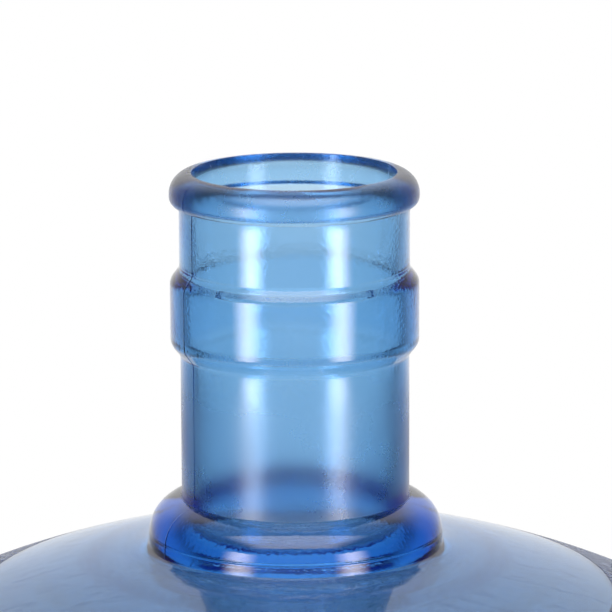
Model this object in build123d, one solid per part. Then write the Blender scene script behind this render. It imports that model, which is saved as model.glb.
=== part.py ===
"""Returnable 18.9 litre drinking-water jug with a snap-cap neck and a trapped carry handle.

The jug stands on the plane z = 0 with its axis on Z. It is a blow-moulded shell, so it is built as
an outer form of revolution less a smaller inner one. The grip recess is cut from the outer form at
its own size, and kept out of the inner one at that size plus the wall, so the wall runs on behind it.
"""
import os
from math import atan2, cos, radians, sin, sqrt, tan

from build123d import *

# ---- overall -------------------------------------------------------------------------------
OVERALL_HEIGHT = 485.0
BARREL_RADIUS = 135.0

# ---- neck, heights measured down from the rim ----------------------------------------------
BEAD_RADIUS = 27.5            # the 55 mm bead that a snap cap grips
BEAD_DEPTH = 7.3
BEAD_TOP_ROUND = 4.5
BEAD_UNDER_ROUND = 1.8
NECK_RADIUS = 25.2
BAND_RADIUS = 27.3            # raised band that the skirt of the cap ends on
BAND_TOP = 21.2
BAND_BOTTOM = 40.5
BAND_RAMP = 2.7               # height of the sloping flank above and below the band
BAND_ROUND = 2.6
COLLAR_FOOT = 83.3            # thick ring at the foot of the neck
COLLAR_HEIGHT = 10.7
COLLAR_RADIUS = 32.6
COLLAR_FALL = 9.5             # degrees that its top slopes down before it rounds over
COLLAR_FLAT = 0.1             # straight run left between its round and the creases
CREASE_ROUND = 0.4            # inside corners where the neck meets its rings

# ---- neck bore -------------------------------------------------------------------------------
MOUTH_RADIUS = 22.5
LIP_ROUND = 0.4
BAND_BORE_RADIUS = 23.3
LOWER_BORE_RADIUS = 22.1
FOOT_BORE_RADIUS = 21.5
BORE_FLARE_ROUND = 9.0

# ---- shoulder --------------------------------------------------------------------------------
DOME_RADIUS = 203.0           # the shoulder is part of a sphere centred on the axis
DOME_CROWN = 81.1             # where that sphere would cross the axis, below the rim
DOME_START_RADIUS = 35.0
SHOULDER_CORNER = 38.0
SHOULDER_WALL = 1.4

# ---- barrel ----------------------------------------------------------------------------------
BARREL_WALL = 1.1
GROOVE_COUNT = 5
GROOVE_FIRST = 78.0           # height of the lowest ring groove
GROOVE_LAST = 56.4            # the highest one, below the foot of the shoulder
GROOVE_DEPTH = 5.0
GROOVE_MOUTH = 24.0
GROOVE_FLOOR = 7.0
GROOVE_ROUND = 6.0

# ---- base ------------------------------------------------------------------------------------
BASE_WALL = 1.8
HEEL_ROUND = 22.0
STANDING_INSET = 31.0         # from the barrel's side to the inner edge of the standing ring
PUSH_UP_SLOPE = 18.0          # run of the slope between the standing ring and the push-up
PUSH_UP_HEIGHT = 15.0
PUSH_UP_ROUND = 8.0
CHANNEL_COUNT = 8             # channels that stiffen the base and let air out from under it
CHANNEL_RADIUS = 8.0
CHANNEL_DEPTH = 6.0

# ---- grip recess, on the +X side --------------------------------------------------------------
RECESS_GROOVE = 3             # the recess is centred on this groove, counted up from 0
RECESS_DEPTH = 50.0
RECESS_FLOOR_WIDTH = 58.0
RECESS_DRAFT = 15.0           # degrees that each side leans out
RECESS_CORNER = 18.0
RECESS_FLOOR_ROUND = 9.0
RECESS_LIP = 8.0              # flare around the mouth of the recess

# ---- handle ----------------------------------------------------------------------------------
HANDLE_WIDTH = 26.0
HANDLE_THICKNESS = 17.0
HANDLE_SETBACK = 2.0          # the handle lies this far inside the barrel's outline
HANDLE_CORNER = 5.0           # corners of the handle's outline, seen from its side of the jug
HANDLE_EDGE_ROUND = 4.0
GRIP_ROUND = 6.0              # rounds of the grip's back, where the fingers go
FOOT_LENGTH = 21.0
FOOT_LAND = 3.1               # wall left between each foot and the mouth of the recess
FOOT_PITCH_COUNT = 3          # the feet lie this many groove pitches apart, clear of the grooves
GRIP_BOW = 3.0                # how far the grip's back stands in from its feet
HANDLE_CLEARANCE = 0.3
LUG_RADIUS = 4.5
LUG_REACH = 3.0

# ---- worked out from the sizes above -----------------------------------------------------------
collar_top = COLLAR_FOOT - COLLAR_HEIGHT
collar_overhang = COLLAR_RADIUS - NECK_RADIUS
collar_edge = collar_top + collar_overhang * tan(radians(COLLAR_FALL))
collar_run = min(collar_overhang / cos(radians(COLLAR_FALL)), COLLAR_FOOT - collar_edge)
collar_round = (collar_run - COLLAR_FLAT) / tan(radians(90 - COLLAR_FALL) / 2) - CREASE_ROUND
dome_centre_height = OVERALL_HEIGHT - DOME_CROWN - DOME_RADIUS
barrel_top = dome_centre_height + sqrt(
    (DOME_RADIUS - SHOULDER_CORNER) ** 2 - (BARREL_RADIUS - SHOULDER_CORNER) ** 2
)
groove_pitch = (barrel_top - GROOVE_LAST - GROOVE_FIRST) / (GROOVE_COUNT - 1)
standing_radius = BARREL_RADIUS - STANDING_INSET
push_up_radius = standing_radius - PUSH_UP_SLOPE
handle_face = BARREL_RADIUS - HANDLE_SETBACK
handle_back = handle_face - HANDLE_THICKNESS
slot_floor = handle_back - HANDLE_CLEARANCE
recess_floor = BARREL_RADIUS - RECESS_DEPTH
recess_height = GROOVE_FIRST + RECESS_GROOVE * groove_pitch
recess_lean = tan(radians(RECESS_DRAFT))
lug_height = FOOT_PITCH_COUNT * groove_pitch / 2
handle_length = 2 * lug_height + FOOT_LENGTH
recess_floor_height = handle_length - 2 * (FOOT_LENGTH + FOOT_LAND + RECESS_DEPTH * recess_lean)


def from_rim(radius, depth):
    """A point of the revolved outline at a radius and a depth below the rim."""
    return (radius, OVERALL_HEIGHT - depth)


def dome_point(dome_radius, radius):
    """The point of the shoulder's sphere that lies at a radius from the axis."""
    return (radius, dome_centre_height + sqrt(dome_radius**2 - radius**2))


def dome_tangent(dome_radius, radius, reach):
    """A point on the tangent at dome_point, moved inwards until it is at radius reach."""
    start = dome_point(dome_radius, radius)
    slope = radius / (start[1] - dome_centre_height)
    return (reach, start[1] + (radius - reach) * slope)


def shoulder(dome_radius, barrel_radius, corner, start_radius):
    """The dome and the corner arc that turns it into the barrel, tangent at both ends."""
    reach = dome_radius - corner
    corner_radius = barrel_radius - corner
    corner_height = dome_centre_height + sqrt(reach**2 - corner_radius**2)
    turn = atan2(corner_height - dome_centre_height, corner_radius)
    start = dome_point(dome_radius, start_radius)
    start_turn = atan2(start[1] - dome_centre_height, start[0])
    middle_turn = (start_turn + turn) / 2
    meet = (dome_radius * cos(turn), dome_centre_height + dome_radius * sin(turn))
    middle = (dome_radius * cos(middle_turn), dome_centre_height + dome_radius * sin(middle_turn))
    half = (corner_radius + corner * cos(turn / 2), corner_height + corner * sin(turn / 2))
    end = (barrel_radius, corner_height)
    return [ThreePointArc(start, middle, meet), ThreePointArc(meet, half, end)], end


def barrel_points(wall):
    """Corners and rounds of the barrel and base, wall millimetres inside the outer skin."""
    radius = BARREL_RADIUS - wall
    points = []
    for index in reversed(range(GROOVE_COUNT)):
        height = GROOVE_FIRST + index * groove_pitch
        for rise, depth, round_ in (
            (GROOVE_MOUTH / 2, 0, GROOVE_ROUND - wall),
            (GROOVE_FLOOR / 2, GROOVE_DEPTH, GROOVE_ROUND + wall),
            (-GROOVE_FLOOR / 2, GROOVE_DEPTH, GROOVE_ROUND + wall),
            (-GROOVE_MOUTH / 2, 0, GROOVE_ROUND - wall),
        ):
            points.append((radius - depth, height + rise, round_))
    floor = BASE_WALL if wall else 0.0
    points.append((radius, floor, HEEL_ROUND - wall))
    points.append((standing_radius + floor / 2, floor, PUSH_UP_ROUND - floor))
    points.append((push_up_radius + floor / 2, PUSH_UP_HEIGHT + floor, PUSH_UP_ROUND + floor))
    points.append((0.0, PUSH_UP_HEIGHT + floor, 0.0))
    return points


def rounded_line(start, points, end):
    """A run of straight lines from start to end, with each point between rounded to its radius."""
    corners = [start] + [point[:2] for point in points] + [end]
    return FilletPolyline(*corners, radius=[point[2] for point in points])


def outer_form():
    """The jug's outer form as a solid of revolution."""
    neck = [
        (0, 0, 0),
        (BEAD_RADIUS, 0, BEAD_TOP_ROUND),
        (BEAD_RADIUS, BEAD_DEPTH, BEAD_UNDER_ROUND),
        (NECK_RADIUS, BEAD_DEPTH, CREASE_ROUND),
        (NECK_RADIUS, BAND_TOP, CREASE_ROUND),
        (BAND_RADIUS, BAND_TOP + BAND_RAMP, BAND_ROUND),
        (BAND_RADIUS, BAND_BOTTOM - BAND_RAMP, BAND_ROUND),
        (NECK_RADIUS, BAND_BOTTOM, CREASE_ROUND),
        (NECK_RADIUS, collar_top, CREASE_ROUND),
        (COLLAR_RADIUS, collar_edge, collar_round),
    ]
    foot = (COLLAR_RADIUS, OVERALL_HEIGHT - COLLAR_FOOT, CREASE_ROUND)
    neck_points = [(*from_rim(radius, depth), round_) for radius, depth, round_ in neck] + [foot]
    dome_start = dome_point(DOME_RADIUS, DOME_START_RADIUS)
    arcs, side_top = shoulder(DOME_RADIUS, BARREL_RADIUS, SHOULDER_CORNER, DOME_START_RADIUS)
    barrel = barrel_points(0.0)
    edges = [
        rounded_line(neck_points[0][:2], neck_points[1:], dome_start),
        *arcs,
        rounded_line(side_top, barrel[:-1], barrel[-1][:2]),
        Line((0, PUSH_UP_HEIGHT), (0, OVERALL_HEIGHT)),
    ]
    return revolved(edges)


def inner_form():
    """The hollow of the jug, from the open mouth down to the push-up, as a solid of revolution."""
    dome_radius = DOME_RADIUS - SHOULDER_WALL
    flare_end_radius = COLLAR_RADIUS + BORE_FLARE_ROUND / 2
    flare_end = dome_point(dome_radius, flare_end_radius)
    flare_corner = dome_tangent(dome_radius, flare_end_radius, FOOT_BORE_RADIUS)
    lip_start = from_rim(MOUTH_RADIUS + LIP_ROUND, 0)
    lip_end = from_rim(MOUTH_RADIUS, LIP_ROUND)
    lip = RadiusArc(lip_start, lip_end, -LIP_ROUND)
    neck = [
        (*from_rim(MOUTH_RADIUS, BAND_TOP + BAND_RAMP / 2), BAND_ROUND),
        (*from_rim(BAND_BORE_RADIUS, BAND_TOP + BAND_RAMP * 1.5), BAND_ROUND),
        (*from_rim(BAND_BORE_RADIUS, BAND_BOTTOM - BAND_RAMP * 1.5), BAND_ROUND),
        (*from_rim(LOWER_BORE_RADIUS, BAND_BOTTOM), BAND_ROUND),
        (*flare_corner, BORE_FLARE_ROUND),
    ]
    barrel = barrel_points(BARREL_WALL)
    arcs, side_top = shoulder(
        dome_radius, BARREL_RADIUS - BARREL_WALL, SHOULDER_CORNER - BARREL_WALL, flare_end_radius
    )
    edges = [
        Line((0, OVERALL_HEIGHT), lip_start),
        lip,
        rounded_line(lip_end, neck, flare_end),
        *arcs,
        rounded_line(side_top, barrel[:-1], barrel[-1][:2]),
        Line(barrel[-1][:2], (0, OVERALL_HEIGHT)),
    ]
    return revolved(edges)


def revolved(edges):
    """The solid made by turning a closed chain of edges, drawn as (radius, height), about Z."""
    profile = Plane.XZ * make_face(edges)
    return revolve(profile, Axis.Z)


def recess(grow):
    """The grip recess as a tool, grown by a wall: a drafted, rounded scoop that flares at its lip."""
    floor = recess_floor - grow
    mouth = BARREL_RADIUS - RECESS_LIP
    beyond = BARREL_RADIUS + RECESS_LIP
    sections = []
    for reach, flare in ((floor, 0.0), (mouth, 0.0), (beyond, 2 * RECESS_LIP)):
        spread = 2 * (grow + (reach - floor) * recess_lean + flare)
        outline = RectangleRounded(
            RECESS_FLOOR_WIDTH + spread, recess_floor_height + spread, RECESS_CORNER + spread / 4
        )
        plane = Plane((reach, 0, recess_height), x_dir=(0, 1, 0), z_dir=(1, 0, 0))
        sections.append(plane * outline)
    scoop = loft(sections, ruled=True)
    return fillet(scoop.faces().sort_by(Axis.X)[0].edges(), RECESS_FLOOR_ROUND + grow)


def handle_seat(grow):
    """The two slots that hold the handle's feet with their lug sockets, as a tool grown by a wall."""
    width = HANDLE_WIDTH + 2 * (HANDLE_CLEARANCE + grow)
    length = handle_length + 2 * (HANDLE_CLEARANCE + grow)
    depth = BARREL_RADIUS + RECESS_LIP - slot_floor + grow
    centre = Location((slot_floor - grow + depth / 2, 0, recess_height))
    slot = Box(depth, width, length)
    slot = fillet(slot.edges().filter_by(Axis.X), HANDLE_CORNER + HANDLE_CLEARANCE + grow)
    sockets = lugs(HANDLE_CLEARANCE + grow)
    return centre * slot + sockets


def lugs(grow):
    """The handle's four snap lugs as two crossing pins, one through each foot."""
    reach = HANDLE_WIDTH / 2 + LUG_REACH + grow
    pins = []
    for side in (-1, 1):
        height = recess_height + side * lug_height
        pin = Cylinder(LUG_RADIUS + grow, 2 * reach, rotation=(90, 0, 0))
        pins.append(Location(((handle_face + handle_back) / 2, 0, height)) * pin)
    return pins[0] + pins[1]


def base_channels(grow):
    """The radial channels across the standing ring as a tool, grown by a wall."""
    reach = BARREL_RADIUS + HEEL_ROUND - push_up_radius
    channel = Cylinder(CHANNEL_RADIUS + grow, reach, rotation=(0, 90, 0)) + Location(
        (-reach / 2, 0, 0)
    ) * Sphere(CHANNEL_RADIUS + grow)
    drop = CHANNEL_RADIUS - CHANNEL_DEPTH
    return PolarLocations(push_up_radius + reach / 2, CHANNEL_COUNT) * (
        Location((0, 0, -drop)) * channel
    )


def bottle():
    """The blow-moulded jug: outer form less the hollow, with recess and channels one wall thick."""
    skin = outer_form() - recess(0.0) - handle_seat(0.0) - base_channels(0.0)
    hollow = inner_form() - recess(BARREL_WALL) - handle_seat(BARREL_WALL)
    return skin - (hollow - base_channels(BASE_WALL))


def handle():
    """The carry handle: a bowed grip between two feet, rounded for the hand, with its snap lugs."""
    half = handle_length / 2
    grip_end = half - FOOT_LENGTH
    side = [
        Line((handle_face, -half), (handle_face, half)),
        Line((handle_face, half), (handle_back, half)),
        Line((handle_back, half), (handle_back, grip_end)),
        ThreePointArc((handle_back, grip_end), (handle_back + GRIP_BOW, 0), (handle_back, -grip_end)),
        Line((handle_back, -grip_end), (handle_back, -half)),
        Line((handle_back, -half), (handle_face, -half)),
    ]
    blank = extrude(Plane.XZ * make_face(side), amount=HANDLE_WIDTH / 2, both=True)
    blank = fillet(blank.edges().filter_by(Axis.X), HANDLE_CORNER)
    blank = fillet(blank.edges().filter_by(GeomType.CIRCLE).group_by(SortBy.LENGTH)[-1], GRIP_ROUND)
    grip = fillet(blank.faces().sort_by(Axis.X)[-1].edges(), HANDLE_EDGE_ROUND)
    return Location((0, 0, recess_height)) * grip + lugs(0.0)


def write(shape, name):
    """Write one named piece as a STEP file."""
    shape.label = name
    export_step(shape, f"parts/{name}.step")


os.makedirs("parts", exist_ok=True)
write(bottle(), "bottle")
write(handle(), "handle")
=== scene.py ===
"""A returnable 18.9 litre drinking-water jug: the blow-moulded bottle and its trapped carry handle."""

import bpy
import numpy as np
from mathutils import Matrix, Vector


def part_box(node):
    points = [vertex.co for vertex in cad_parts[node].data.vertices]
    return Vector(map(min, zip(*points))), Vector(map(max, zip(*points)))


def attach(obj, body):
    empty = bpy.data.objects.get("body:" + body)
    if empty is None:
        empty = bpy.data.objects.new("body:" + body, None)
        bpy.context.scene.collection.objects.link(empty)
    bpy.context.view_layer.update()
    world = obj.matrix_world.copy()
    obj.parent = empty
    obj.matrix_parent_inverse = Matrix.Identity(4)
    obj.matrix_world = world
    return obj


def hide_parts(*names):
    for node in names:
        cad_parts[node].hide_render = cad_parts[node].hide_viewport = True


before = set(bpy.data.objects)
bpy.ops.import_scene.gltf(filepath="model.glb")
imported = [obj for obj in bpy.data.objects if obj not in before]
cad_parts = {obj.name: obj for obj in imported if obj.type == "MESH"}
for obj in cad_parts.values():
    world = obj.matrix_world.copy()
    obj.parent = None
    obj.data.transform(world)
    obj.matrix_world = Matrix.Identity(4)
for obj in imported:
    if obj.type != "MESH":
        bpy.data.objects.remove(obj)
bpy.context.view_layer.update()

# ---- bottle ------------------------------------------------------------------------------------
# The bottle is one blow-moulded shell of clear blue polyester. Its neck was moulded first, so it is
# thick and deep in colour, and the body was blown out from it to about a millimetre. Sizes are in
# millimetres, and depths are measured down from the rim.
MM = 0.001
rim_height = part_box("bottle")[1].z / MM
barrel_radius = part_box("bottle")[1].x / MM

# The neck's outside: the bead, the raised band and the thick collar at its foot.
BEAD_RADIUS, BEAD_DEPTH, BEAD_TOP_ROUND, BEAD_UNDER_ROUND, BEAD_CREASE = 27.45, 7.3, 4.7, 2.0, 0.2
UPPER_NECK_RADIUS, NECK_RADIUS = 25.32, 25.2
BAND_RADIUS, BAND_TOP, BAND_BOTTOM, BAND_RAMP = 27.4, 21.2, 40.5, 2.7
BAND_ROUND, BAND_CREASE = 2.6, 1.8
COLLAR_TOP, COLLAR_EDGE, COLLAR_FOOT, COLLAR_RADIUS = 72.6, 73.85, 83.3, 32.6
COLLAR_ROUND, COLLAR_CREASE, FOOT_CREASE = 8.72, 0.1, 0.4
GROOVE_LINE, GROOVE_CUT, GROOVE_HALF = 80.4, 0.15, 0.25
PARTING_BEARING, PARTING_RIDGE, PARTING_HALF = np.radians(28.4), 0.09, np.radians(0.22)
# The bore, which steps out inside the band and flares into the shoulder.
MOUTH_RADIUS, LIP_ROUND = 22.5, 0.25
BAND_BORE_RADIUS, BORE_STEP, BORE_STEP_ROUND, BORE_STEP_BACK = 23.6, 2.1, 1.3, 4.05
LOWER_BORE_RADIUS, FOOT_BORE_RADIUS, TAPER_DEPTH = 22.1, 21.5, 75.0
FLARE_RADIUS, FLARE_DEPTH, FLARE_ROUND = 23.1, 79.6, 3.0
# Radius, wall and round of the thick foot of the shoulder, out to where it is blown thin.
FOOT_WALL = (
    (28.5, 3.2, 3.0), (34.0, 3.9, 30.0), (40.0, 3.8, 60.0), (46.0, 3.65, 60.0), (58.0, 3.2, 60.0),
    (70.0, 2.6, 60.0), (84.0, 1.9, 60.0),
)
FOOT_END = 96.0
WAVE_DEPTH, WAVE_COUNT, WAVE_PITCH, SLOW_WAVE_PITCH = 0.10, 3, 5.3, 23.0
# The blown body: its domed shoulder, grooved barrel, heel and pushed-up base.
DOME_RADIUS, DOME_CROWN, DOME_START_RADIUS = 203.0, 81.1, 35.0
SHOULDER_CORNER, SHOULDER_WALL = 38.0, 1.4
BARREL_WALL, BASE_WALL = 1.1, 1.8
GROOVE_COUNT, GROOVE_FIRST, GROOVE_LAST = 5, 78.0, 56.4
GROOVE_DEPTH, GROOVE_MOUTH, GROOVE_FLOOR, GROOVE_ROUND = 5.0, 24.0, 7.0, 6.0
HEEL_ROUND, STANDING_INSET, PUSH_UP_SLOPE, PUSH_UP_HEIGHT, PUSH_UP_ROUND = 22.0, 31.0, 18.0, 15.0, 8.0
CHANNEL_COUNT, CHANNEL_RADIUS, CHANNEL_DEPTH = 8, 8.0, 6.0
# How far apart the outlines' points lie: along runs and round arcs, finer outside than inside.
NECK_STEP, NECK_ARC_STEP, DOME_STEP, BODY_STEP, BODY_ARC_STEP = 3.0, 0.6, 4.0, 3.6, 3.0
BORE_POINT_STEP, BORE_ARC_STEP, HOLLOW_STEP = 3.0, 1.0, 6.0
# The grip recess in the barrel's +X side and the handle's seat in it.
RECESS_GROOVE, RECESS_DEPTH, RECESS_FLOOR_WIDTH, RECESS_CORNER = 3, 50.0, 58.0, 18.0
RECESS_LEAN = np.tan(np.radians(15.0))
RECESS_FLOOR_BLEND, RECESS_LIP_BLEND, SEAT_STEEPNESS = 2.0, 5.0, 20.0
HANDLE_WIDTH, HANDLE_CLEARANCE, HANDLE_CORNER, FOOT_LENGTH, FOOT_LAND = 26.0, 0.3, 5.0, 21.0, 3.1
LUG_RADIUS, LUG_REACH = 4.5, 3.0

dome_centre = rim_height - DOME_CROWN - DOME_RADIUS
barrel_top = dome_centre + np.sqrt(
    (DOME_RADIUS - SHOULDER_CORNER) ** 2 - (barrel_radius - SHOULDER_CORNER) ** 2
)
groove_pitch = (barrel_top - GROOVE_LAST - GROOVE_FIRST) / (GROOVE_COUNT - 1)
recess_height = GROOVE_FIRST + RECESS_GROOVE * groove_pitch
handle_length = (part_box("handle")[1].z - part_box("handle")[0].z) / MM
lug_height = (handle_length - FOOT_LENGTH) / 2
seat_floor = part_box("handle")[0].x / MM - HANDLE_CLEARANCE
lug_centre = (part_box("handle")[0].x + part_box("handle")[1].x) / 2 / MM
recess_floor = barrel_radius - RECESS_DEPTH
recess_half_height = handle_length / 2 - FOOT_LENGTH - FOOT_LAND - RECESS_DEPTH * RECESS_LEAN


def run(start, end, step):
    """Points from start up to, but without, end, about step apart in a straight line."""
    start, end = np.array(start, float), np.array(end, float)
    count = max(int(np.ceil(np.linalg.norm(end - start) / step)), 1)
    return start + (end - start) * (np.arange(count) / count)[:, None]


def arc(centre, radius, first, last, step):
    """Points on a circle about centre between two angles in radians, both ends included."""
    count = max(int(np.ceil(abs(last - first) * radius / step)), 3)
    turn = np.linspace(first, last, count + 1)
    return np.stack([centre[0] + radius * np.cos(turn), centre[1] + radius * np.sin(turn)], 1)


def rounded(corners, step, arc_step):
    """A line through corners of (radius, height, round): straight runs joined by tangent arcs. Each
    arc's centre is on the line that halves the corner, as far out as its radius over the half's sine."""
    corners = [np.array(corner, float) for corner in corners]
    pieces, last = [], corners[0][:2]
    for before, here, after in zip(corners[:-2], corners[1:-1], corners[2:]):
        back = (before - here)[:2] / np.linalg.norm((before - here)[:2])
        ahead = (after - here)[:2] / np.linalg.norm((after - here)[:2])
        half = np.arccos(np.clip(back @ ahead, -1, 1)) / 2
        reach = here[2] / np.tan(half)
        centre = here[:2] + (back + ahead) / np.linalg.norm(back + ahead) * here[2] / np.sin(half)
        first, second = here[:2] + back * reach - centre, here[:2] + ahead * reach - centre
        start = np.arctan2(first[1], first[0])
        turn = (np.arctan2(second[1], second[0]) - start + np.pi) % (2 * np.pi) - np.pi
        pieces.append(run(last, here[:2] + back * reach, step))
        pieces.append(arc(centre, here[2], start, start + turn, arc_step)[:-1])
        last = here[:2] + ahead * reach
    pieces.append(run(last, corners[-1][:2], step))
    return np.vstack(pieces)


def shoulder_line(dome, barrel, corner, start_radius, step):
    """The sphere from a radius near the neck outwards, and the arc that turns it into the barrel."""
    drop = np.sqrt((dome - corner) ** 2 - (barrel - corner) ** 2)
    centre = np.array([barrel - corner, dome_centre + drop])
    first = np.arccos(start_radius / dome)
    turn = np.arctan2(centre[1] - dome_centre, centre[0])
    crown = arc((0, dome_centre), dome, first, turn, step)[:-1]
    return np.vstack([crown, arc(centre, corner, turn, 0, step)])


def barrel_line(wall, start, step):
    """From the shoulder down the grooved barrel, round the heel and over the push-up to the axis."""
    radius, floor, corners = barrel_radius - wall, BASE_WALL if wall else 0.0, [(*start, 0)]
    for height in GROOVE_FIRST + groove_pitch * np.arange(GROOVE_COUNT)[::-1]:
        corners += [
            (radius, height + GROOVE_MOUTH / 2, GROOVE_ROUND - wall),
            (radius - GROOVE_DEPTH, height + GROOVE_FLOOR / 2, GROOVE_ROUND + wall),
            (radius - GROOVE_DEPTH, height - GROOVE_FLOOR / 2, GROOVE_ROUND + wall),
            (radius, height - GROOVE_MOUTH / 2, GROOVE_ROUND - wall),
        ]
    standing = barrel_radius - STANDING_INSET + floor / 2
    corners += [
        (radius, floor, HEEL_ROUND - wall),
        (standing, floor, PUSH_UP_ROUND - floor),
        (standing - PUSH_UP_SLOPE, PUSH_UP_HEIGHT + floor, PUSH_UP_ROUND + floor),
        (0, PUSH_UP_HEIGHT + floor, 0),
    ]
    return rounded(corners, step, BODY_ARC_STEP)


def below_rim(corners):
    """Turns corners of (radius, depth below the rim, round) into (radius, height, round)."""
    return [(radius, rim_height - depth, round_) for radius, depth, round_ in corners]


def outer_line():
    """The bottle's outer outline as (radius, height), from the lip down to the middle of the base."""
    corners = below_rim([
        (MOUTH_RADIUS + LIP_ROUND, 0, 0),
        (BEAD_RADIUS, 0, BEAD_TOP_ROUND),
        (BEAD_RADIUS, BEAD_DEPTH, BEAD_UNDER_ROUND),
        (UPPER_NECK_RADIUS, BEAD_DEPTH, BEAD_CREASE),
        (UPPER_NECK_RADIUS, BAND_TOP, BAND_CREASE),
        (BAND_RADIUS, BAND_TOP + BAND_RAMP, BAND_ROUND),
        (BAND_RADIUS, BAND_BOTTOM - BAND_RAMP, BAND_ROUND),
        (NECK_RADIUS, BAND_BOTTOM, BAND_CREASE),
        (NECK_RADIUS, COLLAR_TOP, COLLAR_CREASE),
        (COLLAR_RADIUS, COLLAR_EDGE, COLLAR_ROUND),
        (COLLAR_RADIUS, COLLAR_FOOT, FOOT_CREASE),
    ])
    dome = shoulder_line(DOME_RADIUS, barrel_radius, SHOULDER_CORNER, DOME_START_RADIUS, DOME_STEP)
    neck = rounded([*corners, (*dome[0], 0)], NECK_STEP, NECK_ARC_STEP)
    # The mould halves of the neck and of the body part in a fine groove round the collar: the line
    # is taken again there at tenths of a millimetre, less a bell curve.
    groove = rim_height - GROOVE_LINE + np.arange(1.0, -1.01, -0.1)
    above, below = neck[:, 1] > groove[0], neck[:, 1] < groove[-1]
    cut = np.stack([np.interp(groove, neck[::-1, 1], neck[::-1, 0]), groove], 1)
    cut[:, 0] -= GROOVE_CUT * np.exp(-(((groove - groove.mean()) / GROOVE_HALF) ** 2))
    neck = np.vstack([neck[above], cut, neck[below]])
    return np.vstack([neck, dome[:-1], barrel_line(0.0, dome[-1], BODY_STEP)])


def inner_line():
    """The outline of the hollow, from the mouth down to the middle of the base."""
    radius, corner = barrel_radius - BARREL_WALL, SHOULDER_CORNER - BARREL_WALL
    dome = shoulder_line(DOME_RADIUS - SHOULDER_WALL, radius, corner, FOOT_END, HOLLOW_STEP)
    corners = below_rim([
        (MOUTH_RADIUS, LIP_ROUND, 0),
        (MOUTH_RADIUS, BAND_TOP, BORE_STEP_ROUND),
        (BAND_BORE_RADIUS, BAND_TOP + BORE_STEP, BORE_STEP_ROUND),
        (BAND_BORE_RADIUS, BAND_BOTTOM - BORE_STEP_BACK, BAND_ROUND),
        (LOWER_BORE_RADIUS, BAND_BOTTOM, BAND_ROUND),
        (FOOT_BORE_RADIUS, TAPER_DEPTH, FLARE_ROUND),
        (FLARE_RADIUS, FLARE_DEPTH, FLARE_ROUND),
    ])
    for radius, wall, round_ in FOOT_WALL:
        corners.append((radius, dome_centre + np.sqrt((DOME_RADIUS - wall) ** 2 - radius**2), round_))
    neck = rounded([*corners, (*dome[0], 0)], BORE_POINT_STEP, BORE_ARC_STEP)
    return np.vstack([neck, dome[:-1], barrel_line(BARREL_WALL, dome[-1], HOLLOW_STEP)])


def edge_distance(y, z, half_width, half_height, corner):
    """Distance from the edge of a rounded rectangle, below zero inside it: the distance from the
    rectangle that is smaller by the corner's radius all round, less that radius."""
    across, along = np.abs(y) - half_width + corner, np.abs(z) - half_height + corner
    outside = np.hypot(np.maximum(across, 0), np.maximum(along, 0))
    return outside + np.minimum(np.maximum(across, along), 0) - corner


def carved(points, wall):
    """Pushes the barrel's +X side in to the grip recess and the handle's seat, each grown by the
    wall. The recess is its floor plus the distance outside the floor's outline over the lean, blended
    into the barrel; the seat and the lugs' sockets are flat floors with steep sides."""
    x, y, z = points[..., 0], points[..., 1], points[..., 2] - recess_height
    half_width, half_height = RECESS_FLOOR_WIDTH / 2 + wall, recess_half_height + wall
    out = edge_distance(y, z, half_width, half_height, RECESS_CORNER + wall)
    climb = (out + np.sqrt(out**2 + RECESS_FLOOR_BLEND**2)) / 2 / RECESS_LEAN
    recess = recess_floor - wall + climb
    scoop = (x + recess - np.sqrt((x - recess) ** 2 + RECESS_LIP_BLEND**2)) / 2
    grow = HANDLE_CLEARANCE + wall
    half_width, half_height = HANDLE_WIDTH / 2 + grow, handle_length / 2 + grow
    seat = edge_distance(y, z, half_width, half_height, HANDLE_CORNER + grow)
    seat = seat_floor - wall + np.maximum(seat, 0) * SEAT_STEEPNESS
    lug = edge_distance(y, np.abs(z) - lug_height, half_width + LUG_REACH, LUG_RADIUS + grow, LUG_RADIUS)
    lug = lug_centre - LUG_RADIUS - grow + np.maximum(lug, 0) * SEAT_STEEPNESS
    near = (x > 0) & (np.abs(y) < x) & (np.abs(z) < handle_length)
    pushed = np.minimum(np.minimum(scoop, seat), lug)
    points[..., 0] = np.where(near, np.minimum(x, pushed), x)
    return points


def channelled(points, grow):
    """Raises the base over the radial channels: each is a lying cylinder, so its height is a circle's."""
    sector = 2 * np.pi / CHANNEL_COUNT
    turn = np.arctan2(points[..., 1], points[..., 0])
    radius = np.hypot(points[..., 0], points[..., 1])
    aside = radius * np.sin((turn + sector / 2) % sector - sector / 2)
    arch = np.sqrt(np.maximum((CHANNEL_RADIUS + grow) ** 2 - aside**2, 0))
    roof = CHANNEL_DEPTH - CHANNEL_RADIUS + arch
    reached = radius > barrel_radius - STANDING_INSET - PUSH_UP_SLOPE
    points[..., 2] = np.where(reached, np.maximum(points[..., 2], roof), points[..., 2])
    return points


def turned(line, bearings):
    """The surface that a line of (radius, height) makes at the given bearings about Z: x and y are
    the radius times the bearing's cosine and sine."""
    return np.stack([
        line[:, :1] * np.cos(bearings),
        line[:, :1] * np.sin(bearings),
        np.repeat(line[:, 1:], len(bearings), 1),
    ], -1)


def widened(points, amount):
    """Moves points straight out from the Z axis: x and y are scaled by one plus the amount over the
    distance from the axis."""
    reach = np.hypot(points[..., 0], points[..., 1]).clip(1)
    points[..., :2] *= (1 + amount / reach)[..., None]
    return points


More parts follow.
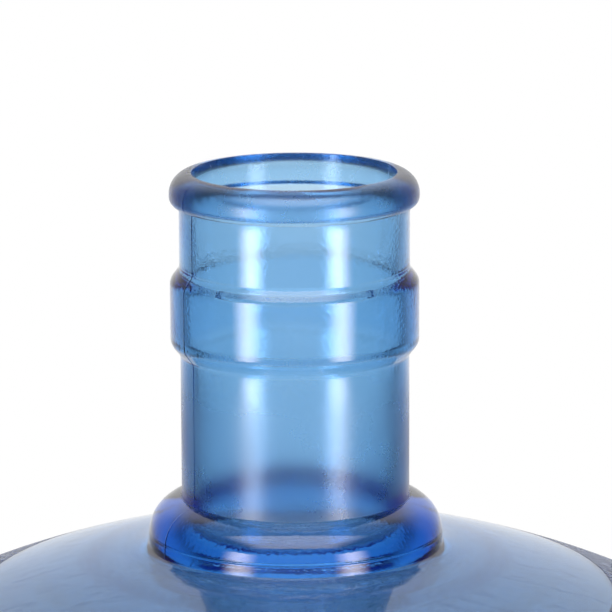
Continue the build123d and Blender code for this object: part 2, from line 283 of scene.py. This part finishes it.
def shell_mesh(name, rows, start, end):
    """A closed mesh of rows of points, each a ring, shut by a pole at both ends, in millimetres."""
    height, around = rows.shape[:2]
    mesh = bpy.data.meshes.new(name)
    points = np.vstack([rows.reshape(-1, 3), [start], [end]]) * MM
    index = np.arange(height * around).reshape(height, around)
    beside = np.roll(index, -1, 1)
    quads = np.stack([index[:-1], beside[:-1], beside[1:], index[1:]], -1).reshape(-1, 4)
    low = np.stack([np.full(around, height * around), beside[0], index[0]], -1)
    high = np.stack([np.full(around, height * around + 1), index[-1], beside[-1]], -1)
    corners = np.concatenate([quads.ravel(), low.ravel(), high.ravel()])
    sizes = np.concatenate([np.full(len(quads), 4), np.full(2 * around, 3)])
    mesh.vertices.add(len(points))
    mesh.vertices.foreach_set("co", points.ravel())
    mesh.loops.add(len(corners))
    mesh.loops.foreach_set("vertex_index", corners.astype(np.int32))
    mesh.polygons.add(len(sizes))
    mesh.polygons.foreach_set("loop_start", (np.cumsum(sizes) - sizes).astype(np.int32))
    mesh.update(calc_edges=True)
    mesh.validate()
    mesh.shade_smooth()
    return mesh


# The rings have more points at the handle's recess, and a few close together at each parting line.
FINE_BEARING, FINE_COUNT, COARSE_COUNT = np.radians(22.0), 50, 102
LINE_BEARINGS = np.radians((-0.8, -0.45, -0.22, 0.0, 0.22, 0.45, 0.8))
bearings = np.sort(np.concatenate([
    np.linspace(-FINE_BEARING, FINE_BEARING, FINE_COUNT, endpoint=False),
    np.linspace(FINE_BEARING, 2 * np.pi - FINE_BEARING, COARSE_COUNT, endpoint=False),
    PARTING_BEARING + LINE_BEARINGS,
    PARTING_BEARING + np.pi + LINE_BEARINGS,
]))

# The two halves of the neck's mould part on one plane and leave a fine raised line down each side.
outer = turned(outer_line()[::-1], bearings)
off_line = (bearings - PARTING_BEARING + np.pi / 2) % np.pi - np.pi / 2
ridge = PARTING_RIDGE * np.exp(-((off_line / PARTING_HALF) ** 2))
outer = widened(outer, np.where(outer[..., 2] > rim_height - COLLAR_FOOT, ridge, 0))
outer = channelled(carved(outer, 0.0), 0.0)

# The core pin and the blowing leave the inner wall slightly uneven: one slow wave round the neck
# times one that is quicker down it.
inner = turned(inner_line(), bearings)
turn = np.arctan2(inner[..., 1], inner[..., 0])
slow_wave = np.sin(WAVE_COUNT * turn + inner[..., 2] / SLOW_WAVE_PITCH)
quick_wave = np.sin(inner[..., 2] / WAVE_PITCH + 2 * turn)
inner = widened(inner, WAVE_DEPTH * slow_wave * quick_wave)
inner = channelled(carved(inner, BARREL_WALL), BASE_WALL)

# The lip is a quarter round between the two.
LIP_POINTS = 3
lip_turn = np.linspace(0, np.pi / 2, LIP_POINTS + 2)[1:-1]
lip_line = np.stack([
    MOUTH_RADIUS + LIP_ROUND - LIP_ROUND * np.sin(lip_turn),
    rim_height - LIP_ROUND + LIP_ROUND * np.cos(lip_turn),
], 1)
lip = turned(lip_line, bearings)

pole = np.array([0, 0, PUSH_UP_HEIGHT])
rings = np.concatenate([outer, lip, inner])
bottle_mesh = shell_mesh("bottle_shell", rings, pole, pole + [0, 0, BASE_WALL])
skin = np.concatenate([
    np.ones(len(outer) * len(bearings)), np.zeros((len(lip) + len(inner)) * len(bearings)), [1, 0],
])
bottle_mesh.attributes.new("outside", "FLOAT", "POINT").data.foreach_set("value", skin)
bottle = bpy.data.objects.new("bottle_shell", bottle_mesh)
bpy.context.scene.collection.objects.link(bottle)


def node(tree, kind, inputs=None, **settings):
    """Adds a node, sets its properties, and sets or links each input named."""
    made = tree.nodes.new(kind)
    for name, value in settings.items():
        setattr(made, name, value)
    for name, value in (inputs or {}).items():
        if isinstance(value, bpy.types.NodeSocket):
            tree.links.new(value, made.inputs[name])
        else:
            made.inputs[name].default_value = value
    return made


def maths(tree, operation, *terms):
    """The outcome of one arithmetic operation on numbers or sockets."""
    return node(tree, "ShaderNodeMath", dict(enumerate(terms)), operation=operation).outputs[0]


def ramp(tree, value, start, end, low=0.0, high=1.0, eased=False):
    """Goes from low to high while the value goes from start to end, and stays flat beyond them."""
    limits = {"Value": value, "From Min": start, "From Max": end, "To Min": low, "To Max": high}
    easing = "SMOOTHSTEP" if eased else "LINEAR"
    return node(tree, "ShaderNodeMapRange", limits, interpolation_type=easing).outputs[0]


def blend(tree, factor, first, second):
    """A colour that goes from the first to the second while the factor goes from 0 to 1."""
    made = node(tree, "ShaderNodeMix", {"Factor": factor, 6: first, 7: second}, data_type="RGBA")
    return made.outputs[2]


# Handling leaves both plastics unevenly dulled, in soft patches of a size that each one sets.
worn_patches = bpy.data.node_groups.new("worn_patches", "ShaderNodeTree")
for name in ("Scale", "Detail", "Roughness"):
    worn_patches.interface.new_socket(name, in_out="INPUT", socket_type="NodeSocketFloat")
worn_patches.interface.new_socket("Worn", in_out="OUTPUT", socket_type="NodeSocketFloat")
given = node(worn_patches, "NodeGroupInput")
place = node(worn_patches, "ShaderNodeTexCoord")
patches = node(worn_patches, "ShaderNodeTexNoise", {
    "Vector": place.outputs["Object"], "Scale": given.outputs["Scale"],
    "Detail": given.outputs["Detail"], "Roughness": given.outputs["Roughness"],
})
node(worn_patches, "NodeGroupOutput", {"Worn": patches.outputs["Fac"]})

PLASTIC_TINT, PLASTIC_IOR = (0.985, 0.99, 1.0, 1.0), 1.57
# A metre of the plastic takes up the density times what the colour lacks of white.
ABSORPTION_DENSITY, ABSORPTION_COLOUR = 250.0, (0.08, 0.58, 0.888, 1.0)

bottle_plastic = bpy.data.materials.new("bottle_plastic")
bottle_plastic.use_nodes = True
tree = bottle_plastic.node_tree
shader = tree.nodes["Principled BSDF"]
place = node(tree, "ShaderNodeTexCoord").outputs["Object"]
outside = node(tree, "ShaderNodeAttribute", attribute_name="outside").outputs["Fac"]
split = node(tree, "ShaderNodeSeparateXYZ", {0: place})
flat = node(tree, "ShaderNodeCombineXYZ", {0: split.outputs[0], 1: split.outputs[1]}).outputs[0]
radius = node(tree, "ShaderNodeVectorMath", {0: flat}, operation="LENGTH").outputs["Value"]
height = split.outputs[2]

# The body's mould is etched with fine pebbles, which start at a ring on the shoulder that lies a
# little forward of the neck.
PEBBLE_SIZE, PEBBLE_START, PEBBLE_FULL, PEBBLE_SHIFT = 1.1, 70.3, 70.7, 4.0
PEBBLE_HEIGHT, PEBBLE_ROUGHNESS = 1.6, 0.15
# The pebbles' colour is painted shade in their hollows and painted light on their raised edges, following
# their bump height.
PEBBLE_PAINTED_SHADE, PEBBLE_PAINTED_LIGHT = (0.05, 0.12, 0.32, 1.0), (0.60, 0.75, 1.0, 1.0)
blown = node(tree, "ShaderNodeVectorMath", {0: flat, 1: (0, PEBBLE_SHIFT * MM, 0)}, operation="ADD")
blown = node(tree, "ShaderNodeVectorMath", {0: blown.outputs[0]}, operation="LENGTH").outputs["Value"]
pebbled = maths(tree, "MULTIPLY", ramp(tree, blown, PEBBLE_START * MM, PEBBLE_FULL * MM), outside)
cells = node(tree, "ShaderNodeTexVoronoi", {
    "Vector": place, "Scale": 1 / (PEBBLE_SIZE * MM),
}, feature="SMOOTH_F1").outputs["Distance"]
pebbles = maths(tree, "MULTIPLY", cells, pebbled)

# The core pin leaves a fine ripple inside the neck, except on the plain stretch below the band.
RIPPLE_FINENESS, RIPPLE_DETAIL, RIPPLE_DEPTH = 1100.0, 2.0, 0.042
BORE_REACH, BORE_CLEAR = 24.5, 28.0
PLAIN_MIDDLE, PLAIN_HALF, PLAIN_EDGE = 54.0, 10.0, 15.0
bored = maths(tree, "SUBTRACT", ramp(tree, radius, BORE_CLEAR * MM, BORE_REACH * MM), outside)
bored = maths(tree, "MAXIMUM", bored, 0.0)
plain = maths(tree, "ABSOLUTE", maths(tree, "SUBTRACT", height, (rim_height - PLAIN_MIDDLE) * MM))
bored = maths(tree, "MULTIPLY", bored, ramp(tree, plain, PLAIN_HALF * MM, PLAIN_EDGE * MM))
ripple = node(tree, "ShaderNodeTexNoise", {
    "Vector": place, "Scale": RIPPLE_FINENESS, "Detail": RIPPLE_DETAIL,
})
ripple = maths(tree, "MULTIPLY", ripple.outputs["Fac"], bored)
ripple = maths(tree, "MULTIPLY", ripple, RIPPLE_DEPTH / PEBBLE_HEIGHT)
relief = maths(tree, "ADD", pebbles, ripple)
bump = node(tree, "ShaderNodeBump", {"Height": relief, "Strength": 1.0, "Distance": PEBBLE_HEIGHT * MM})
tree.links.new(bump.outputs["Normal"], shader.inputs["Normal"])

# A darker ring round the neck's foot is painted shade, and handling leaves streaks of dirt on the
# shoulder, which grow stronger away from the neck.
RING_START, RING_FULL, RING_PAST, RING_END, RING_STRENGTH = 40.0, 45.0, 46.0, 50.0, 0.45
STREAK_TURN, STREAK_STRETCH = 0.6, (0.35, 1.6, 1.0)
STREAK_FINENESS, STREAK_DETAIL, STREAK_CRISPNESS = 220.0, 8.0, 0.7
STREAK_FAINT, STREAK_CLEAR, STREAK_STRENGTH = 0.53, 0.63, 0.6
# The darker tint serves both the streaks of dirt and the ring of painted shade.
DIRT_AND_SHADE_TINT = (0.20, 0.32, 0.48, 1.0)
# The ring darkens the outside's colour round the neck's foot: painted shade.
ring = maths(
    tree, "MULTIPLY",
    ramp(tree, radius, RING_START * MM, RING_FULL * MM, eased=True),
    ramp(tree, radius, RING_PAST * MM, RING_END * MM, 1.0, 0.0, eased=True),
)
ring = maths(tree, "MULTIPLY", ring, RING_STRENGTH)
streak = node(tree, "ShaderNodeMapping", {
    "Vector": place, "Rotation": (0, 0, STREAK_TURN), "Scale": STREAK_STRETCH,
})
streak = node(tree, "ShaderNodeTexNoise", {
    "Vector": streak.outputs[0], "Scale": STREAK_FINENESS,
    "Detail": STREAK_DETAIL, "Roughness": STREAK_CRISPNESS,
})
streak = ramp(tree, streak.outputs["Fac"], STREAK_FAINT, STREAK_CLEAR)
spread = ramp(tree, radius, RING_START * MM, RING_END * MM, 0.0, STREAK_STRENGTH)
dirt_and_shade = maths(tree, "MAXIMUM", ring, maths(tree, "MULTIPLY", streak, spread))
# The ring's painted shade and the streaks' dirt both darken the outside's colour towards the darker tint.
tint = blend(tree, maths(tree, "MULTIPLY", dirt_and_shade, outside), PLASTIC_TINT, DIRT_AND_SHADE_TINT)
# Over the pebbles the colour goes from painted shade in each hollow to painted light on its raised edge.
tint = blend(tree, pebbled, tint, blend(tree, cells, PEBBLE_PAINTED_SHADE, PEBBLE_PAINTED_LIGHT))
tree.links.new(tint, shader.inputs["Base Color"])

# The neck is polished, the blown shoulder is hazy, and the bead and the lower neck are rubbed dull.
NECK_ROUGHNESS, HAZE_ROUGHNESS, HAZE_START, HAZE_FULL = 0.04, 0.12, 44.0, 64.0
RUBBED_ROUGHNESS, RUBBED_START, RUBBED_FULL, RUBBED_RADIUS = 0.25, 36.0, 50.0, 25.6
BEAD_ROUGHNESS, BEAD_RUB_END, BEAD_RUB_FULL = 0.22, 10.0, 7.0
LEAST_WORN, MOST_WORN, WORN_FROM, WORN_TO = 0.75, 1.25, 0.3, 0.7
hazy = ramp(tree, radius, HAZE_START * MM, HAZE_FULL * MM, NECK_ROUGHNESS, HAZE_ROUGHNESS)
rubbed = ramp(
    tree, height, (rim_height - RUBBED_START) * MM, (rim_height - RUBBED_FULL) * MM, 0.0, RUBBED_ROUGHNESS
)
rubbed = maths(tree, "MULTIPLY", rubbed, maths(tree, "LESS_THAN", radius, RUBBED_RADIUS * MM))
bead_rub = ramp(
    tree, height, (rim_height - BEAD_RUB_END) * MM, (rim_height - BEAD_RUB_FULL) * MM, 0.0, BEAD_ROUGHNESS
)
rubbed = maths(tree, "MULTIPLY", maths(tree, "ADD", rubbed, bead_rub), outside)
worn = node(tree, "ShaderNodeGroup", {
    "Scale": 45.0, "Detail": 6.0, "Roughness": 0.65,
}, node_tree=worn_patches).outputs["Worn"]
rough = ramp(tree, worn, WORN_FROM, WORN_TO, LEAST_WORN, MOST_WORN)
rough = maths(tree, "MULTIPLY", rough, maths(tree, "ADD", hazy, rubbed))
rough = maths(tree, "ADD", rough, maths(tree, "MULTIPLY", pebbled, PEBBLE_ROUGHNESS))
tree.links.new(rough, shader.inputs["Roughness"])
shader.inputs["IOR"].default_value = PLASTIC_IOR
shader.inputs["Transmission Weight"].default_value = 1.0
absorption = node(tree, "ShaderNodeVolumeAbsorption", {
    "Color": ABSORPTION_COLOUR, "Density": ABSORPTION_DENSITY,
})
tree.links.new(absorption.outputs[0], tree.nodes["Material Output"].inputs["Volume"])
bottle.data.materials.append(bottle_plastic)

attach(bottle, "root")
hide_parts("bottle")

# ---- handle ------------------------------------------------------------------------------------
# The carry handle is injection moulded in solid dark blue plastic with a satin skin. Its two feet snap
# into the slots at the ends of the grip recess.
HANDLE_DARK, HANDLE_LIGHT = (0.035, 0.11, 0.36, 1), (0.055, 0.16, 0.46, 1)
HANDLE_SMOOTHEST, HANDLE_ROUGHEST = 0.32, 0.46
GRAIN_FINENESS, GRAIN_DETAIL, GRAIN_STRENGTH, GRAIN_HEIGHT = 900.0, 3.0, 0.25, 0.1
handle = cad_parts["handle"]
handle_plastic = bpy.data.materials.new("handle_plastic")
handle_plastic.use_nodes = True
tree = handle_plastic.node_tree
shader = tree.nodes["Principled BSDF"]
place = node(tree, "ShaderNodeTexCoord").outputs["Object"]
grain = node(tree, "ShaderNodeTexNoise", {
    "Vector": place, "Scale": GRAIN_FINENESS, "Detail": GRAIN_DETAIL,
})
worn = node(tree, "ShaderNodeGroup", {
    "Scale": 60.0, "Detail": 5.0, "Roughness": 0.5,
}, node_tree=worn_patches).outputs["Worn"]
bump = node(tree, "ShaderNodeBump", {
    "Height": grain.outputs["Fac"], "Strength": GRAIN_STRENGTH, "Distance": GRAIN_HEIGHT * MM,
})
tree.links.new(blend(tree, worn, HANDLE_DARK, HANDLE_LIGHT), shader.inputs["Base Color"])
tree.links.new(ramp(tree, worn, 0.0, 1.0, HANDLE_SMOOTHEST, HANDLE_ROUGHEST), shader.inputs["Roughness"])
tree.links.new(bump.outputs["Normal"], shader.inputs["Normal"])
handle.data.materials.clear()
handle.data.materials.append(handle_plastic)

# ---- floor -------------------------------------------------------------------------------------
# A pale table top that fades into the white round it. It is a disc of rings of points.
FLOOR_RADIUS, FLOOR_FADE, FLOOR_MIDDLE, FLOOR_RINGS, FLOOR_AROUND = 0.9, 0.35, 0.02, 24, 96
FLOOR_COLOUR, FLOOR_ROUGHNESS = (0.86, 0.87, 0.88, 1), 0.6
floor_rings = np.linspace(FLOOR_MIDDLE, 1.0, FLOOR_RINGS)[:, None] * FLOOR_RADIUS
floor_turn = np.linspace(0, 2 * np.pi, FLOOR_AROUND, endpoint=False)
floor_points = np.stack([
    floor_rings * np.cos(floor_turn),
    floor_rings * np.sin(floor_turn),
    np.zeros((FLOOR_RINGS, FLOOR_AROUND)),
], -1).reshape(-1, 3)
index = np.arange(FLOOR_RINGS * FLOOR_AROUND).reshape(FLOOR_RINGS, FLOOR_AROUND)
beside = np.roll(index, -1, 1)
floor_faces = np.stack([index[:-1], index[1:], beside[1:], beside[:-1]], -1).reshape(-1, 4)
floor_mesh = bpy.data.meshes.new("floor")
floor_mesh.from_pydata(floor_points.tolist(), [], [*floor_faces.tolist(), index[0].tolist()])
floor = bpy.data.objects.new("floor", floor_mesh)
bpy.context.scene.collection.objects.link(floor)
table_top = bpy.data.materials.new("table_top")
table_top.use_nodes = True
tree = table_top.node_tree
shader = tree.nodes["Principled BSDF"]
place = node(tree, "ShaderNodeTexCoord")
away = node(tree, "ShaderNodeVectorMath", {0: place.outputs["Object"]}, operation="LENGTH")
shown = ramp(tree, away.outputs["Value"], FLOOR_FADE, FLOOR_RADIUS, 1.0, 0.0, eased=True)
tree.links.new(shown, shader.inputs["Alpha"])
shader.inputs["Base Color"].default_value = FLOOR_COLOUR
shader.inputs["Roughness"].default_value = FLOOR_ROUGHNESS
floor.data.materials.append(table_top)

# ---- studio ------------------------------------------------------------------------------------
# White all round for what looks at it directly. Seen in or through the plastic, the white sweep
# fills the back of the room, and the room is dimmer to the sides, in front, overhead and on the table.
# The bounds are parts of a unit vector that points into the room: from one value to the other the
# brightness goes over from white to the level named.
FRONT_LEVEL, FRONT_FROM, FRONT_TO = 0.45, 0.5, -0.3
SIDE_LEVEL, SIDE_FROM, SIDE_TO = 0.4, 0.35, 0.75
FAR_SIDE_LEVEL, FAR_SIDE_FROM, FAR_SIDE_TO = 0.25, 0.7, 0.92
OVERHEAD_LEVEL, OVERHEAD_FROM, OVERHEAD_TO, SWEEP_FROM, SWEEP_TO = 0.45, 0.15, 0.6, 0.6, 0.35
TABLE_LEVEL, TABLE_FROM, TABLE_TO, TABLE_BACK, TABLE_END = 0.9, -0.222, -0.30, -0.36, -0.5
ROOM_LIGHT = 0.7
world = bpy.data.worlds.new("studio")
bpy.context.scene.world = world
world.use_nodes = True
tree = world.node_tree
ray = node(tree, "ShaderNodeLightPath")
seen = maths(tree, "MAXIMUM", ray.outputs["Is Camera Ray"], ray.outputs["Is Transmission Ray"])
seen = maths(tree, "MAXIMUM", seen, ray.outputs["Is Glossy Ray"])
toward = node(tree, "ShaderNodeSeparateXYZ", {0: node(tree, "ShaderNodeTexCoord").outputs["Generated"]})
aside = maths(tree, "ABSOLUTE", toward.outputs[0])
backward, upward = toward.outputs[1], toward.outputs[2]
overhead = ramp(tree, upward, OVERHEAD_FROM, OVERHEAD_TO, 0.0, 1 - OVERHEAD_LEVEL, eased=True)
in_front = ramp(tree, backward, SWEEP_TO, SWEEP_FROM, 1.0, 0.0, eased=True)
overhead = maths(tree, "SUBTRACT", 1.0, maths(tree, "MULTIPLY", overhead, in_front))
table = ramp(tree, upward, TABLE_TO, TABLE_FROM, TABLE_LEVEL, 1.0)
table = maths(tree, "MAXIMUM", table, ramp(tree, upward, TABLE_END, TABLE_BACK, 1.0, TABLE_LEVEL))
room = ramp(tree, backward, FRONT_TO, FRONT_FROM, FRONT_LEVEL, 1.0, eased=True)
for part in (
    overhead,
    table,
    ramp(tree, aside, FAR_SIDE_FROM, FAR_SIDE_TO, 1.0, FAR_SIDE_LEVEL, eased=True),
    ramp(tree, aside, SIDE_FROM, SIDE_TO, 1.0, SIDE_LEVEL, eased=True),
):
    room = maths(tree, "MULTIPLY", room, part)
room = maths(tree, "MAXIMUM", room, ray.outputs["Is Camera Ray"])
level = node(tree, "ShaderNodeMix", {"Factor": seen, 2: ROOM_LIGHT, 3: room})
back = tree.nodes["Background"]
tree.links.new(level.outputs[0], back.inputs["Strength"])
back.inputs["Color"].default_value = (1, 1, 1, 1)

# A tall strip each side of the front, bright down to near the table, and a wide lamp overhead.
LAMP_COLOUR = (1.0, 0.93, 0.93)
STRIP_BEARING, STRIP_AWAY, STRIP_HEIGHT, STRIP_SIZE = np.radians(44.0), 0.95, 0.44, (0.56, 0.72)
STRIP_RADIANCE, STRIP_SOFT, STRIP_FOOT, STRIP_FULL = 9.0, 0.5, 0.08, 0.15
OVERHEAD_FORWARD, OVERHEAD_HEIGHT, OVERHEAD_SIZE = 0.60, 1.5, (2.0, 1.0)
OVERHEAD_RADIANCE, OVERHEAD_SOFT, OVERHEAD_FOOT, OVERHEAD_FULL = 3.3, 0.25, 0.0, 0.1


def softbox(name, place, aim, size, radiance, soft, foot, full):
    """A flat area lamp of a given brightness, which fades over its outer part on both sides, and from
    the height full down to the height foot."""
    lamp = bpy.data.lights.new(name, "AREA")
    lamp.shape = "RECTANGLE"
    lamp.size, lamp.size_y = size
    lamp.energy = radiance * size[0] * size[1] * np.pi
    lamp.color = LAMP_COLOUR
    lamp.use_nodes = True
    tree = lamp.node_tree
    face = node(tree, "ShaderNodeNewGeometry")
    across = node(tree, "ShaderNodeSeparateXYZ", {0: face.outputs["Parametric"]}).outputs[0]
    off = maths(tree, "ABSOLUTE", maths(tree, "SUBTRACT", across, 0.5))
    lifted = node(tree, "ShaderNodeSeparateXYZ", {0: face.outputs["Position"]}).outputs[2]
    fade = maths(
        tree, "MULTIPLY",
        ramp(tree, off, 0.5 - soft, 0.5, 1.0, 0.0, eased=True),
        ramp(tree, lifted, foot, full, eased=True),
    )
    tree.links.new(fade, tree.nodes["Emission"].inputs["Strength"])
    made = bpy.data.objects.new(name, lamp)
    made.location = place
    made.rotation_mode = "QUATERNION"
    made.rotation_quaternion = (Vector(place) - Vector(aim)).to_track_quat("Z", "Y")
    made.visible_camera = False
    bpy.context.scene.collection.objects.link(made)


for side, side_name in ((-1, "left"), (1, "right")):
    softbox(
        f"strip_{side_name}",
        (side * STRIP_AWAY * np.sin(STRIP_BEARING), -STRIP_AWAY * np.cos(STRIP_BEARING), STRIP_HEIGHT),
        (0, 0, STRIP_HEIGHT), STRIP_SIZE, STRIP_RADIANCE, STRIP_SOFT, STRIP_FOOT, STRIP_FULL,
    )
softbox(
    "overhead", (0, -OVERHEAD_FORWARD, OVERHEAD_HEIGHT), (0, -OVERHEAD_FORWARD, 0),
    OVERHEAD_SIZE, OVERHEAD_RADIANCE, OVERHEAD_SOFT, OVERHEAD_FOOT, OVERHEAD_FULL,
)
# Light bounces many times in the thick collar before it leaves it.
BOUNCES, GLOSSY_BOUNCES = 32, 16
cycles = bpy.context.scene.cycles
cycles.max_bounces, cycles.transmission_bounces, cycles.glossy_bounces = BOUNCES, BOUNCES, GLOSSY_BOUNCES

# ---- camera ------------------------------------------------------------------------------------
# A long lens a metre in front of the neck, looking a little down on the rim.
CAMERA_AWAY, CAMERA_ABOVE_RIM = 1.0, 0.18439
CAMERA_DOWN, CAMERA_YAW, CAMERA_ROLL = np.radians((12.106, 0.142, -0.224))
LENS, SENSOR = 273.74, 36.0
forward = Vector((
    np.sin(CAMERA_YAW) * np.cos(CAMERA_DOWN),
    np.cos(CAMERA_YAW) * np.cos(CAMERA_DOWN),
    -np.sin(CAMERA_DOWN),
))
right = Vector((np.cos(CAMERA_YAW), -np.sin(CAMERA_YAW), 0))
up = right.cross(forward)
rolled_right = right * np.cos(CAMERA_ROLL) + up * np.sin(CAMERA_ROLL)
rolled_up = up * np.cos(CAMERA_ROLL) - right * np.sin(CAMERA_ROLL)
lens = bpy.data.cameras.new("camera")
lens.lens, lens.sensor_width = LENS, SENSOR
camera = bpy.data.objects.new("camera", lens)
camera_place = Vector((0.0, -CAMERA_AWAY, rim_height * MM + CAMERA_ABOVE_RIM))
camera_axes = Matrix((rolled_right, rolled_up, -forward)).transposed().to_4x4()
camera.matrix_world = Matrix.Translation(camera_place) @ camera_axes
bpy.context.scene.collection.objects.link(camera)
bpy.context.scene.camera = camera
bpy.context.scene.view_settings.view_transform = "Standard"
